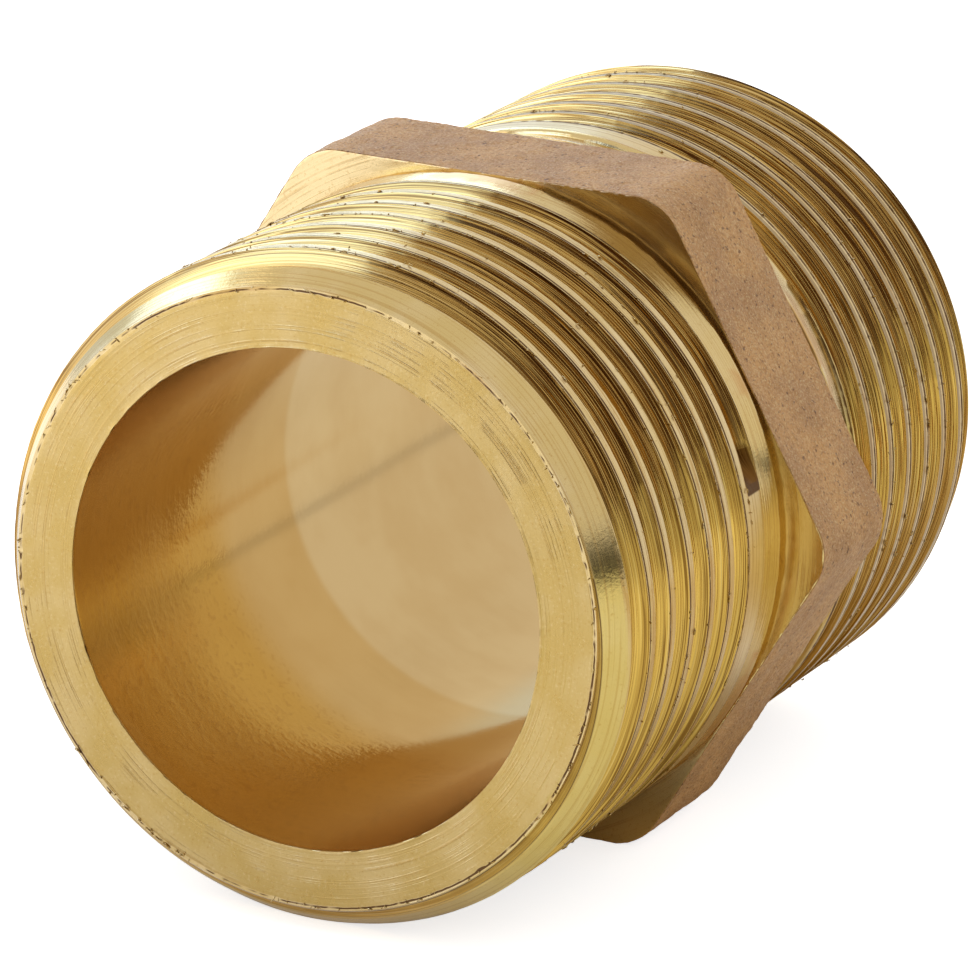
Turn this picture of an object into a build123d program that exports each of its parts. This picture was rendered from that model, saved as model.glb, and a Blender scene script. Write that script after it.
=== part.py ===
from build123d import *
import math
import os

# Brass hex nipple, one solid. Millimetres, +Z up.
# The bore axis is X. The origin is on that axis, midway between the ends.
# A wrench flat faces down.

# Lengths along the bore axis
TOTAL_LENGTH = 35.6
HEX_WIDTH = 5.8
COLLAR_LENGTH = 1.9
RUNOUT_LENGTH = 0.4

# Sizes across the bore axis
THREAD_DIAMETER = 26.441
END_FACE_DIAMETER = 24.4
COLLAR_DIAMETER = 26.1
BORE_DIAMETER = 19.7
ACROSS_FLATS = 26.5
HEX_CORNER_RADIUS = 2.2

# The lead chamfer leaves the thread cylinder at this angle to the bore axis.
LEAD_ANGLE = 35.0


def side_profile():
    """Radius against distance from the middle, for one end of the turned body."""
    thread_radius = THREAD_DIAMETER / 2
    face_radius = END_FACE_DIAMETER / 2
    collar_radius = COLLAR_DIAMETER / 2
    end = TOTAL_LENGTH / 2
    lead_length = (thread_radius - face_radius) / math.tan(math.radians(LEAD_ANGLE))
    collar_end = HEX_WIDTH / 2 + COLLAR_LENGTH
    return [
        (0.0, collar_radius),
        (collar_end, collar_radius),
        (collar_end + RUNOUT_LENGTH, thread_radius),
        (end - lead_length, thread_radius),
        (end, face_radius),
        (end, 0.0),
    ]


def turned_body():
    """The round body: two threaded ends at their major diameter, and their collars."""
    rear = side_profile()
    front = [(-x, radius) for x, radius in reversed(rear)]
    outline = front + rear[1:]
    with BuildPart() as body:
        with BuildSketch(Plane.XZ):
            with BuildLine():
                Polyline(*outline, close=True)
            make_face()
        revolve(axis=Axis.X)
    return body.part


def hex_block():
    """The wrench section, with rounded corners and flats at top and bottom."""
    with BuildPart() as block:
        with BuildSketch(Plane.YZ) as section:
            RegularPolygon(radius=ACROSS_FLATS / 2, side_count=6, major_radius=False)
            fillet(section.vertices(), radius=HEX_CORNER_RADIUS)
        extrude(amount=HEX_WIDTH / 2, both=True)
    return block.part


def bore():
    """The straight passage, a little longer than the body so both ends open."""
    passage = Cylinder(radius=BORE_DIAMETER / 2, height=TOTAL_LENGTH + 2.0)
    return Rot(0, 90, 0) * passage


def nipple_body():
    """Body and wrench section as one piece, with the bore taken out."""
    return turned_body() + hex_block() - bore()


os.makedirs("parts", exist_ok=True)
nipple = nipple_body()
nipple.label = "nipple_body"
export_step(nipple, "parts/nipple_body.step")
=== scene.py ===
"""Brass hex nipple: two threaded ends on one forged hexagon, with a plain bore through it.

Laid out as a Blender add-on and run as a script. Lengths in the settings are metres, and the
shape functions work in millimetres. The x axis is the bore's axis, and the front end is at -x.
Angles run round the axis from +z towards -y.
"""
import math

import bpy
import numpy as np
from bpy.props import FloatProperty, FloatVectorProperty, IntProperty, PointerProperty
from mathutils import Matrix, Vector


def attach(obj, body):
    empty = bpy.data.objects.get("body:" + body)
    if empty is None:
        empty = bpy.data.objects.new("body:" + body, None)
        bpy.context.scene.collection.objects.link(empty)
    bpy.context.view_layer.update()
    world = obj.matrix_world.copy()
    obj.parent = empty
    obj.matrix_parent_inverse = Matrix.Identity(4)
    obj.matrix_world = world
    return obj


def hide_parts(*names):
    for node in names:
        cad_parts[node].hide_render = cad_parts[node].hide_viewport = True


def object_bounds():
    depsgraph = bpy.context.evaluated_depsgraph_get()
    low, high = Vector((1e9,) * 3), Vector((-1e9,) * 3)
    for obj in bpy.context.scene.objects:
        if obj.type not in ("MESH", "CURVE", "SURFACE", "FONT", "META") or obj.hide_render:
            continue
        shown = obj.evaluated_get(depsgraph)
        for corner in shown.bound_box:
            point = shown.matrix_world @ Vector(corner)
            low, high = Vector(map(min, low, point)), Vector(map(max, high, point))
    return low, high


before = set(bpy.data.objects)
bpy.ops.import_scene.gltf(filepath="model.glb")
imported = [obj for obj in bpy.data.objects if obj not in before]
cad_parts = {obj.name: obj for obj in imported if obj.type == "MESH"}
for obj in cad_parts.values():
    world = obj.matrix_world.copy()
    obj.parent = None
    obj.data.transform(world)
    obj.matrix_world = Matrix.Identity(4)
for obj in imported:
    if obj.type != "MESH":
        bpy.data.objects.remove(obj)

CAD_BOX = [[float(v) for v in corner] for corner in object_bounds()]
MM = 0.001
NODE = "nipple_body"

bl_info = {
    "name": "Brass hex nipple",
    "version": (1, 0, 0),
    "blender": (4, 5, 0),
    "location": "3D View > Sidebar > Nipple",
    "description": "Builds a brass hex nipple with cut threads and a forged hexagon",
    "category": "Add Mesh",
}


def linear(hex_colour):
    """The linear colour, with alpha 1, of an sRGB hex value such as #E3C070."""
    values = np.array([int(hex_colour[i:i + 2], 16) for i in (1, 3, 5)]) / 255
    values = np.where(values <= 0.04045, values / 12.92, ((values + 0.055) / 1.055) ** 2.4)
    return (*(float(v) for v in values), 1.0)


def length_setting(name, description, millimetres):
    """A length that the user may change, with its default given in millimetres."""
    return FloatProperty(name=name, description=description, default=millimetres * MM,
                         min=0.0, precision=5, unit="LENGTH")


def colour_setting(name, description, hex_colour):
    """A colour that the user may change, with its default given as an sRGB hex value."""
    return FloatVectorProperty(name=name, description=description, subtype="COLOR", size=4,
                               default=linear(hex_colour), min=0.0, max=1.0)


class NippleSizes(bpy.types.PropertyGroup):
    """Sizes of the nipple's turned, cut and forged forms"""
    total_length: length_setting(
        "Total length", "End face to end face", (CAD_BOX[1][0] - CAD_BOX[0][0]) / MM)
    across_flats: length_setting(
        "Across flats", "Width of the hexagon between opposite flats", (CAD_BOX[1][2] - CAD_BOX[0][2]) / MM)
    corner_radius: length_setting("Hexagon corner radius", "Rounding of the forged corners", 2.2)
    hexagon_width: length_setting("Hexagon width", "Length of the hexagon along the bore", 5.8)
    bore_diameter: length_setting("Bore diameter", "Plain hole from end to end", 19.7)
    thread_diameter: length_setting("Thread diameter", "Major diameter of the 3/4 in pipe thread", 26.441)
    pitch: length_setting("Thread pitch", "One turn of the thread, 14 to the inch", 1.8143)
    crest_width: length_setting("Crest width", "Flat left on top of each turn", 0.54)
    thread_depth: length_setting("Thread depth", "Crest to root", 1.0)
    end_face_diameter: length_setting("End face diameter", "Outside of the flat end face", 24.4)
    collar_diameter: length_setting("Collar diameter", "Plain turned collar beside the hexagon", 26.1)
    flank_angle: FloatProperty(name="Flank angle", description="Half of the angle between flanks",
                               default=math.radians(27.5), subtype="ANGLE")
    lead_angle: FloatProperty(name="Lead angle", description="Slope of the chamfer at each end",
                              default=math.radians(35.0), subtype="ANGLE")
    burr_count: IntProperty(name="Burr count", description="Raised chips left along the thread crests",
                            default=1100, min=0, max=4000)


class NippleFinish(bpy.types.PropertyGroup):
    """Colours of the brass surfaces"""
    cut_brass: colour_setting("Cut brass", "Fresh lathe-cut brass", "#CEB170")
    die_cut_brass: colour_setting("Die-cut brass", "Thread flanks, torn by the die", "#D0AA5F")
    bored_gold: colour_setting("Bored gold", "Bore wall left by the first cut", "#B5883A")
    pale_brass: colour_setting("Pale brass", "Burnished high spots", "#DCC596")
    deep_brass: colour_setting("Deep brass", "Brass darkened by cutting oil", "#A97B33")
    forged_skin: colour_setting("Forged skin", "Tan skin left by hot forging", "#C29259")
    forged_shade: colour_setting("Forged skin shade", "Duller patches of the skin", "#9A7048")
    # This colour also paints shade: on the hexagon's front face, along the crests, on the rear crests, at
    # the groove's runout and round the end face's edge.
    oxide_speck_and_painted_shade: colour_setting("Oxide speck", "Dark specks pressed into the skin", "#5B3A22")
    faced_gold: colour_setting("Faced brass", "Satin end faces", "#BC9F5F")
    bored_pale: colour_setting("Bored pale", "Smooth middle of the bore wall", "#C6A875")
    # This colour also paints shade: in the roots, beside the crests under the burrs, and where the groove
    # runs out.
    root_dirt_and_painted_shade: colour_setting("Root dirt", "Oil and swarf left in the thread roots", "#603912")


class NippleStage(bpy.types.PropertyGroup):
    """Floor, light and camera"""
    floor_half_size: length_setting("Floor half size", "Half the side of the floor", 4000.0)
    key_power: FloatProperty(name="Key power", description="Power of the large lamp on the left",
                             default=0.55, min=0.0, unit="POWER")
    room_level: FloatProperty(name="Room light", description="Level of the soft light from all round",
                              default=0.82, min=0.0)
    lens: FloatProperty(name="Lens", description="Focal length of the camera", default=278.35,
                        subtype="DISTANCE_CAMERA")


# ---------------------------------------------------------------- shapes

SHARP_EDGE = math.radians(30)


def ease(x, start, stop):
    """0 before start and 1 after stop, with the smooth step 3u^2 - 2u^3 between them."""
    u = np.clip((x - start) / (stop - start), 0, 1)
    return u * u * (3 - 2 * u)


def grain(places, size, seed, waves=36):
    """A smooth random field of about unit height: the sum of plane waves cos(k.p + a), where each
    k has a random direction and a wavelength near size, and a is random."""
    rng = np.random.default_rng(seed)
    k = rng.normal(size=(places.shape[-1], waves))
    k *= rng.uniform(0.6, 1.7, waves) * 2 * np.pi / size / np.linalg.norm(k, axis=0)
    shift = rng.uniform(0, 2 * np.pi, waves)
    flat = places.reshape(-1, places.shape[-1])
    total = np.zeros(len(flat))
    for w in range(waves):
        total += np.cos(flat @ k[:, w] + shift[w])
    return (total * math.sqrt(2 / waves)).reshape(places.shape[:-1])


def around(angle, across, stretch, scale):
    """Places for a grain that closes on itself round the axis: (cos a, sin a) times stretch, and
    the distance across the surface times scale."""
    angle, across = np.broadcast_arrays(angle, across)
    return np.stack([np.cos(angle) * stretch, np.sin(angle) * stretch, across * scale], -1)


def grid_mesh(name, places, number, uv, kind, materials, fields):
    """Makes a mesh object from a grid of rows and columns. number[i, j] is the vertex at a grid
    place, so that closed rings, helical seams and places that meet share one vertex. Cells with
    no width are left out, and faces are turned outwards by the sign of the enclosed volume.
    kind gives each cell's material, and fields are values on the vertices for the finishes."""
    rows, columns = number.shape
    corner = np.arange(rows * columns).reshape(rows, columns)
    cells = np.stack([corner[:-1, :-1], corner[:-1, 1:], corner[1:, 1:], corner[1:, :-1]], -1)
    cells = cells.reshape(-1, 4)
    kind = kind.reshape(-1)
    flat = number.reshape(-1)
    quads = flat[cells]
    left = quads[:, 0] == quads[:, 3]
    right = quads[:, 1] == quads[:, 2]
    whole = ~left & ~right
    faces = [cells[whole], cells[left & ~right][:, :3], cells[right & ~left][:, [0, 1, 3]]]
    kinds = np.concatenate([kind[whole], kind[left & ~right], kind[right & ~left]])
    corners = np.concatenate([f.reshape(-1) for f in faces])
    sides = np.concatenate([np.full(len(f), f.shape[1]) for f in faces])
    a, b, c = (places[flat[faces[0][:, i]]] for i in range(3))
    d = places[flat[faces[0][:, 3]]]
    volume = (np.cross(a, b) * c).sum() + (np.cross(a, c) * d).sum()
    starts = np.concatenate([[0], np.cumsum(sides)[:-1]])
    if volume < 0:
        owner = np.repeat(np.arange(len(sides)), sides)
        inside = np.arange(len(corners)) - starts[owner]
        corners = corners[starts[owner] + sides[owner] - 1 - inside]
    mesh = bpy.data.meshes.new(name)
    mesh.vertices.add(len(places))
    mesh.vertices.foreach_set("co", (places * MM).astype(np.float32).ravel())
    mesh.loops.add(len(corners))
    mesh.loops.foreach_set("vertex_index", flat[corners].astype(np.int32))
    mesh.polygons.add(len(sides))
    mesh.polygons.foreach_set("loop_start", starts.astype(np.int32))
    mesh.polygons.foreach_set("loop_total", sides.astype(np.int32))
    mesh.polygons.foreach_set("material_index", kinds.astype(np.int32))
    mesh.update(calc_edges=True)
    layer = mesh.uv_layers.new(name="CutLines")
    layer.data.foreach_set("uv", uv.reshape(-1, 2)[corners].astype(np.float32).ravel())
    for title, values in fields.items():
        field = mesh.attributes.new(title, "FLOAT", "POINT")
        field.data.foreach_set("value", values.astype(np.float32))
    for material in materials:
        mesh.materials.append(material)
    mesh.validate()
    mesh.shade_smooth()
    mesh.set_sharp_from_angle(angle=SHARP_EDGE)
    piece = bpy.data.objects.new(name, mesh)
    bpy.context.scene.collection.objects.link(piece)
    return piece


# The kinds of face, in the order of finishes().
SHOULDER, FACED, TOP, CUT, BORED, SKIN = range(6)
# The cells round the axis, and the turns that the helix is drawn on, which reach past both ends.
COLUMNS = 376
TURNS = np.arange(-1, 9)
# Places up a flank as shares of its width, and across a crest as shares of its half width. RIDGE
# is the crest's relief at those places: raised edges, and a shallow torn line between them.
FLANK = np.arange(1, 8) / 7
CREST = np.array([-1, -0.88, -0.80, -0.36, -0.28, 0.2, 0.84, 1])
RIDGE = np.array([0.4, 0.7, -0.6, -0.6, 0, 0, 0.15, 0.5])
TORN_LINE = CREST[2], CREST[3]
PER_TURN = 2 * len(FLANK) + len(CREST) + 1
ROOT_HALF = 0.112
RUNOUT_DEGREES = 7
# The die's chatter along the helix, as wavelengths in millimetres and weights.
CHATTER = ((61, 1.0), (29, 0.8), (17, 0.6), (9, 0.3))


def thread_rows(size, first_crest, last_groove, seed, crest_painted_shade, clean):
    """The screw surface of one end as t, the distance from the end face, and r, on rows that
    follow the helix t = first_crest + pitch * (turn + angle / 360) + q.
    Each turn's rows run up one flank, over the flat crest, down the other flank and along the
    root. r is the least of three: the straight-sided tooth R - (|q| - crest / 2) / tan(flank),
    the lead cone, and the crest's own height, which sinks to the collar in the last turn. The
    groove runs out at the cumulative angle last_groove.
    It also gives the lengths along and across the thread, the kind of each face, and two fields:
    oily, 1 in a root, where it stands for oil and painted shade, higher where the groove runs
    out, as painted shade for a dark reflection there, and high along the torn line of each crest,
    as painted shade for that line's shadow; and torn, the roughness of the cut, most between 8 and
    68 degrees. film is painted shade on the rear half of each crest, and clean brings both fields
    nearer to one level and leaves no painted shade where the groove runs out."""
    radius, pitch = size.thread_diameter / MM / 2, size.pitch / MM
    half, depth = size.crest_width / MM / 2, size.thread_depth / MM
    steep, lead = 1 / math.tan(size.flank_angle), math.tan(size.lead_angle)
    face, collar = size.end_face_diameter / MM / 2, size.collar_diameter / MM / 2
    reach = (size.total_length - size.hexagon_width) / MM / 2
    foot = pitch / 2 - ROOT_HALF
    turn = np.repeat(TURNS, PER_TURN)[:, None]
    degrees = np.linspace(-180, 180, COLUMNS + 1)[None, :]
    middle = first_crest + pitch * (turn + degrees / 360)
    wound = 360.0 * turn + degrees
    wide = half + 0 * wound
    # On the lead cone the crest widens to where the cone meets the flanks.
    over = radius + half * steep - face - lead * middle
    back = np.clip(over / (steep + lead), wide, foot - 0.02)
    fore = np.clip(over / (steep - lead), wide, foot - 0.02)
    # Each row's part of the profile: 0 and 2 are flanks, 1 is the crest and 3 the root.
    part = np.repeat([0, 1, 2, 3], [len(FLANK), len(CREST), len(FLANK), 1])
    part = np.tile(part, len(TURNS))[:, None]
    share = np.tile(np.concatenate([FLANK[::-1], CREST, FLANK, [0]]), len(TURNS))[:, None]
    q = np.select([part == 0, part == 1, part == 2],
                  [-(fore + (foot - fore) * share), np.where(share < 0, fore, back) * share,
                   back + (foot - back) * share], pitch / 2)
    groove = 360.0 * (turn + (q > 0)) + degrees
    fade = 1 - ease(groove, last_groove - RUNOUT_DEGREES, last_groove)
    slope = np.maximum(0, np.abs(q) - half) / (foot - half)
    drop = depth * np.minimum(1, slope * (1.25 - 0.25 * slope))
    t = middle + q
    top = radius - (radius - collar) * ease(t, reach - 1.8, reach - 1.3)
    cone = face + lead * t
    tooth = np.minimum(top, radius - drop * fade)
    r = np.minimum(tooth, cone)
    onflank = ((part == 0) | (part == 2)) & (drop > 0.02) & (cone > tooth)

    run = wound / 360 * 2 * math.pi * radius
    rise, climb = math.cos(size.flank_angle), math.sin(size.flank_angle)
    slant = np.minimum(np.abs(q), half) + np.maximum(np.abs(q) - half, 0) / climb
    around_profile = 2 * (half + (foot - half) / climb) + 2 * ROOT_HALF
    arc = turn * around_profile + np.sign(q) * slant
    # The die tears the flanks in steps, some the same in every turn and some in one turn only.
    rng = np.random.default_rng(seed)
    lane = rng.uniform(0, 2 * np.pi, (len(turn), len(CHATTER)))
    chatter = sum(weight * np.cos(2 * np.pi * run / wave + lane[:, i:i + 1])
                  for i, (wave, weight) in enumerate(CHATTER))
    step = np.tile(rng.normal(size=PER_TURN), len(TURNS))[:, None] * 0.9
    step = step + rng.normal(size=(len(turn), 1)) * 0.9
    tear = np.maximum(0.2 + 0.8 * ease(degrees, 0, 8) * (1 - ease(degrees, 68, 76)), 2.5 * clean)
    lift = np.where(onflank, 0.006 * step + 0.003 * chatter, 0) * fade * tear
    t = t + lift * np.where(part == 0, -1.0, 1.0) * rise
    r = r + lift * climb

    # Each edge of each turn has its own slow field, torn, and its own quick one, chip.
    side = np.where(share < 0, -1.0, 1.0)
    own = turn * 3.1 + side * 5.7
    torn = grain(np.stack(np.broadcast_arrays(run / 7.0, own), -1), 1.0, seed + 2)
    chip = grain(np.stack(np.broadcast_arrays(run / 0.5, own), -1), 1.0, seed + 3)
    lip = (0.012 + 0.014 * ease(torn, 0.0, 1.6)) * (1 + 0.35 * np.clip(chip, -1.2, 1.6))
    ridge = np.tile(np.concatenate([0 * FLANK, RIDGE, 0 * FLANK, [0]]), len(TURNS))[:, None]
    shelf = (part == 1) & (fade > 0.5) & (cone > top)
    wear = grain(np.stack(np.broadcast_arrays(run / 3.0, q / 0.5 + 4 * turn), -1), 1.0, seed + 4)
    r = np.where(shelf, r + lip * ridge, r)
    r = np.where(shelf, r + 0.0012 * wear, r)
    t = np.where(shelf & (np.abs(share) == 1), t + side * 0.003 * chip, t)

    # The torn line between a crest's raised edges: a real torn groove, darkened with painted shade for its
    # shadow.
    split = shelf & (share >= TORN_LINE[0]) & (share <= TORN_LINE[1])
    evened = clean * (part != 1)
    deep = np.where(cone > tooth, np.maximum(drop * fade / depth, evened) * (1 - evened), 0)
    line = 0.72 + 0.14 * ease(torn, -1.5, 0.5) + 0.14 * np.clip(chip, -1, 1)
    # Painted shade just before the groove runs out, for a dark reflection there; none where clean is above
    # 0.
    runout_painted_shade = ease(groove, last_groove - RUNOUT_DEGREES - 2, last_groove - RUNOUT_DEGREES)
    runout_painted_shade = runout_painted_shade * (drop > 0.1) * (fade > 0.002) * (clean == 0)
    # deep stands for oil and painted shade in the roots, and film puts painted shade on the rear half of
    # each crest.
    oil_and_painted_shade = np.maximum(deep, np.where(split, line, crest_painted_shade * (shelf & (share > 0))))
    oil_and_painted_shade = np.maximum(oil_and_painted_shade, 1.5 * runout_painted_shade)
    kind = np.where((part[:-1] == 1) & (part[1:] == 1), TOP, CUT)
    kind = np.where(0.5 * (fade[:-1, :-1] + fade[1:, 1:]) < 0.06, TOP, kind)
    uv = np.stack(np.broadcast_arrays(run, arc), -1)
    return t, r, uv, kind, oil_and_painted_shade, tear * (1 + clean) + 0 * q


# Rows of the bore wall as shares of the way from the mouth to the hexagon, and rows of the end
# face in millimetres from its two edges. Both are closer at the edges.
BORE_ROWS = (1, 0.88, 0.76, 0.65, 0.55, 0.46, 0.38, 0.31, 0.25, 0.195, 0.15, 0.11, 0.078, 0.05,
             0.03, 0.015, 0.006)
FACE_INNER_ROWS = (0.012, 0.03, 0.07, 0.14)
FACE_OUTER_ROWS = (0.15, 0.12, 0.07, 0.03, 0)
# The collar from its free end to the hexagon: the distance to the hexagon and the height over the
# collar's cylinder. It rises to a rounded bead and drops into the corner.
COLLAR_ROWS = np.array([
    [1.5, -0.02], [1.25, 0.005], [0.95, 0.055], [0.65, 0.115], [0.48, 0.15], [0.36, 0.17],
    [0.32, 0.175], [0.28, 0.16], [0.25, 0.12], [0.22, 0.0], [0.17, -0.07], [0.0, -0.07]])


def threaded_end(name, size, first_crest, last_groove, seed, crest_painted_shade, clean, turned_round, materials):
    """One end of the nipple as a closed ring: bore wall, end face, lead, thread, collar and the
    hidden joint beside the hexagon. Each row is a circle t = constant, except the thread's rows,
    which follow the helix and are held between the end face and the collar. Cutting marks are
    added to each circle as grain.
    Place: x = -L/2 + t, y = -r sin(angle), z = r cos(angle); the other end is turned half a turn
    about the z axis, which keeps the thread right-handed."""
    length, bore = size.total_length / MM, size.bore_diameter / MM / 2
    face, collar = size.end_face_diameter / MM / 2, size.collar_diameter / MM / 2
    reach = (length - size.hexagon_width / MM) / 2
    angle = np.linspace(-np.pi, np.pi, COLUMNS + 1)[None, :]

    t = np.broadcast_to(np.array(BORE_ROWS)[:, None] * reach, (len(BORE_ROWS), COLUMNS + 1))
    marks = np.random.default_rng(seed + 5).normal(size=(t.shape[0], 1)) * 0.004 * (1 - ease(t, 1, 5))
    r = bore + marks * (0.6 + 0.4 * grain(around(angle, t, 3, 0.2), 3, seed + 6)) \
        + 0.004 * grain(around(angle, t, bore, 1.0), 6.0, seed + 7) * ease(t[0, 0] - t, 0.0, 3.0)
    bore_rows = (t, r)

    width = face - bore
    ring = np.concatenate([FACE_INNER_ROWS, np.linspace(0.26, width - 0.16, 14),
                           width - np.array(FACE_OUTER_ROWS)])[:, None] + bore
    ring = np.broadcast_to(ring, (len(ring), COLUMNS + 1))
    cuts = np.random.default_rng(seed + 8).normal(size=(ring.shape[0], 1)) * 0.0022
    inner = np.exp(-((ring - bore - 0.03) / 0.05) ** 2)
    outer = np.exp(-((ring - face + 0.13) / 0.035) ** 2)
    moat = np.exp(-((ring - face + 0.055) / 0.03) ** 2)
    chips = grain(around(angle, ring, face / 0.55, 0.2), 1.0, seed + 9)
    patch = ease(grain(around(angle, 0 * ring, 2.2, 1.0), 2.0, seed + 10), -0.4, 1.2)
    t = cuts * (0.7 + 0.3 * grain(around(angle, ring, 4, 1.0), 3, seed + 11)) + 0.008 * moat * patch \
        - 0.014 * inner * np.clip(0.4 + chips, 0, 2) - 0.006 * outer * patch * np.clip(0.5 + chips, 0, 2) \
        + 0.003 * grain(around(angle, ring, face, 1.0), 2.5, seed + 12)
    nick = ease(grain(around(angle, 0 * ring, face / 0.8, 1.0), 1.0, seed + 13), 1.5, 2.6)
    r = ring + 0.014 * outer * chips - 0.07 * outer * nick
    r[0], t[0] = bore + 0.012, np.maximum(t[0], 0.0)
    t[-1] = 0.0
    face_rows = (t, r)

    ht, hr, huv, hkind, oil_and_painted_shade, tear = thread_rows(size, first_crest, last_groove, seed, crest_painted_shade, clean)
    t = np.broadcast_to(reach - COLLAR_ROWS[:, :1], (len(COLLAR_ROWS), COLUMNS + 1))
    stop = float(t[0, 0])
    bead = np.exp(-((t - reach + 0.3) / 0.05) ** 2)
    r = collar + COLLAR_ROWS[:, 1:] + 0.001 * grain(around(angle, t, collar, 1.0), 5.0, seed + 14) \
        + 0.010 * bead * grain(around(angle, 0 * t, collar / 0.9, 1.0), 1.0, seed + 16)
    collar_rows = (t, r)

    # The thread's places before the end face or past the collar's free end share those vertices.
    first = [np.concatenate([bore_rows[i], face_rows[i]]) for i in (0, 1)]
    low_rows, mid_rows, high_rows = len(first[0]), len(ht), len(collar_rows[0])
    t = np.concatenate([first[0], ht, collar_rows[0], first[0][:1]])
    r = np.concatenate([first[1], hr, collar_rows[1], first[1][:1]])
    number = np.zeros(t.shape, int)
    number[:low_rows, :-1] = np.arange(low_rows * COLUMNS).reshape(low_rows, COLUMNS)
    high = low_rows + mid_rows
    number[high:-1, :-1] = np.arange(high_rows * COLUMNS).reshape(high_rows, COLUMNS) + low_rows * COLUMNS
    number[-1, :-1] = number[0, :-1]
    gap = 0.02
    free = (ht[:, :-1] > gap) & (ht[:, :-1] < stop - gap)
    middle = np.where(ht[:, :-1] <= gap, number[low_rows - 1, :-1], number[high, :-1])
    middle[free] = (low_rows + high_rows) * COLUMNS + np.arange(free.sum())
    number[low_rows:high, :-1] = middle
    number[:low_rows, -1] = number[:low_rows, 0]
    number[high:, -1] = number[high:, 0]
    # The last column of the helix is the first column of the next turn.
    number[low_rows:high, -1] = number[high, 0]
    number[low_rows:high - PER_TURN, -1] = number[low_rows + PER_TURN:high, 0]

    owned = np.zeros(t.shape, bool)
    owned[:low_rows, :-1] = owned[high:-1, :-1] = True
    owned[low_rows:high, :-1] = free
    x = -length / 2 + t
    y, z = -r * np.sin(angle), r * np.cos(angle)
    if turned_round:
        x, y = -x, -y
    places = np.zeros((number.max() + 1, 3))
    places[number[owned]] = np.stack([x, y, z], -1)[owned]

    arc = np.broadcast_to(angle * face, t.shape)
    uv = np.stack([arc, np.where(np.arange(len(t))[:, None] < len(BORE_ROWS), t, r)], -1)
    uv[high:] = np.stack([arc[high:], t[high:]], -1)
    uv[low_rows:high] = huv
    kind = np.full((len(t) - 1, COLUMNS), TOP)
    kind[:len(BORE_ROWS) - 1] = BORED
    kind[len(BORE_ROWS) - 1:low_rows] = FACED
    kind[low_rows - len(FACE_OUTER_ROWS):low_rows - 1] = TOP
    kind[low_rows:high - 1] = hkind
    kind[-1] = FACED

    # The collar keeps patches of the forged skin in line with the middles of the flats, three of
    # them wider. The outer edge of the end face is darkened, partly as grime and partly as painted
    # shadow below its burr.
    off_middle = np.abs((np.degrees(angle) + 30) % 60 - 30)
    patch_width = 3.5 + 4.5 * np.cos(3 * angle) * (-1 if turned_round else 1)
    ragged = grain(np.stack([x, y, z], -1), 1.1, seed + 15)
    skin = 1 - ease(off_middle + 2.0 * ragged, patch_width, patch_width + 3)
    skin = 0.6 * skin * ease(t + 0.1 * ragged, reach - 1.3, reach - 0.8) * (r > 0.5 * (bore + collar))
    sunk = np.zeros(t.shape)
    # Painted shadow below the burr round the end face's outer edge, partly grime.
    sunk[low_rows - 4:low_rows - 2] = np.clip(0.42 + 0.6 * patch[-1:] + 0.25 * chips[-1:], 0, 1)
    sunk[low_rows:high] = oil_and_painted_shade
    lead = np.maximum(1 - ease(t, 1.2, 1.6), ease(t, reach - 2.0, reach - 1.7)) * (t > 0.1)
    torn = np.zeros(t.shape)
    torn[low_rows:high] = tear
    fields = {}
    for title, values in (("skin", skin), ("sunk", sunk), ("lead", lead), ("torn", torn)):
        column = np.zeros(len(places))
        column[number[owned]] = np.broadcast_to(values, t.shape)[owned]
        fields[title] = column
    return grid_mesh(name, places, number, uv, kind, materials, fields)


def hexagon_outline(size, steps):
    """Points and outward normals of the hexagon with rounded corners, by distance along its edge:
    six straight runs, each followed by an arc of 60 degrees, with flats square to the z axis."""
    flat, corner = size.across_flats / MM / 2, size.corner_radius / MM
    run = 2 * (flat - corner) * math.tan(math.pi / 6)
    bend = corner * math.pi / 3
    along = np.linspace(0, 6 * (run + bend), steps + 1)
    side = np.floor(along / (run + bend)).clip(0, 5)
    inside = along - side * (run + bend)
    straight = inside < run
    turn = np.where(straight, 0, (inside - run) / corner)
    heading = side * np.pi / 3 + turn
    out = np.stack([-np.sin(heading), np.cos(heading)], -1)
    centre = side * np.pi / 3 + np.pi / 6
    core = (flat - corner) / math.cos(math.pi / 6)
    on_arc = core * np.stack([-np.sin(centre), np.cos(centre)], -1) + corner * out
    base = side * np.pi / 3
    normal = np.stack([-np.sin(base), np.cos(base)], -1)
    tangent = np.stack([-np.cos(base), -np.sin(base)], -1)
    on_run = flat * normal + (inside - run / 2)[:, None] * tangent
    return np.where(straight[:, None], on_run, on_arc), np.where(straight[:, None], normal, out), along


# The waves of the forged skin, as heights and lengths in millimetres.
SKIN_WAVES = ((0.016, 2.6), (0.010, 0.9), (0.006, 0.42))


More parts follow.
